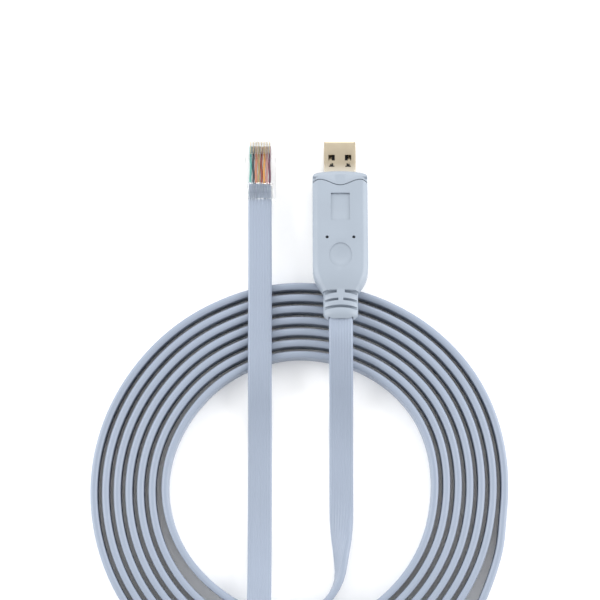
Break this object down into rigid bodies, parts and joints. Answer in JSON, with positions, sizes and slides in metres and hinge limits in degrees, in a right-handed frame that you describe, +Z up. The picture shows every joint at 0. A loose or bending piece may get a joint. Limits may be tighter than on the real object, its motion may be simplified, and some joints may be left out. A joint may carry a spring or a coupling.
{
  "type": "rj45 console cable",
  "caption": "Grey-blue flat console cable in a round coil, from a gold USB-A plug with a moulded hood to a clear RJ45 plug.",
  "frame": {"origin": "on the surface it lies on, under the middle of the box around the two plugs", "axes": "+Z up, +Y the way both plugs point, +X from the RJ45 plug to the USB plug"},
  "size_m": [0.1536, 0.2126, 0.0192],
  "materials": {
    "jacket_pvc": "extruded soft PVC, satin, faintly ribbed along the cores",
    "hood_pvc": "injection moulded PVC, satin",
    "gold_plate": "thin gold plate on folded steel sheet",
    "black_pbt": "moulded PBT",
    "contact_gold": "gold-plated phosphor bronze",
    "clear_polycarbonate": "clear polycarbonate, as moulded",
    "core_teal": "extruded insulation",
    "core_navy": "extruded insulation",
    "core_clay": "extruded insulation",
    "core_ochre": "extruded insulation",
    "core_rust": "extruded insulation",
    "core_amber": "extruded insulation",
    "core_rose": "extruded insulation",
    "core_plum": "extruded insulation"
  },
  "bodies": {
    "root": {"cable_coil": "jacket_pvc", "cable_usb_end": "jacket_pvc", "cable_rj45_end": "jacket_pvc", "usb_housing": "hood_pvc", "usb_shell": "gold_plate", "usb_tongue": "black_pbt", "usb_contact_1": "contact_gold", "usb_contact_2": "contact_gold", "usb_contact_3": "contact_gold", "usb_contact_4": "contact_gold", "rj45_body": "clear_polycarbonate", "rj45_contact_1": "contact_gold", "rj45_contact_2": "contact_gold", "rj45_contact_3": "contact_gold", "rj45_contact_4": "contact_gold", "rj45_contact_5": "contact_gold", "rj45_contact_6": "contact_gold", "rj45_contact_7": "contact_gold", "rj45_contact_8": "contact_gold", "rj45_wire_1": "core_teal", "rj45_wire_2": "core_navy", "rj45_wire_3": "core_clay", "rj45_wire_4": "core_ochre", "rj45_wire_5": "core_rust", "rj45_wire_6": "core_amber", "rj45_wire_7": "core_rose", "rj45_wire_8": "core_plum"}
  },
  "joints": []
}
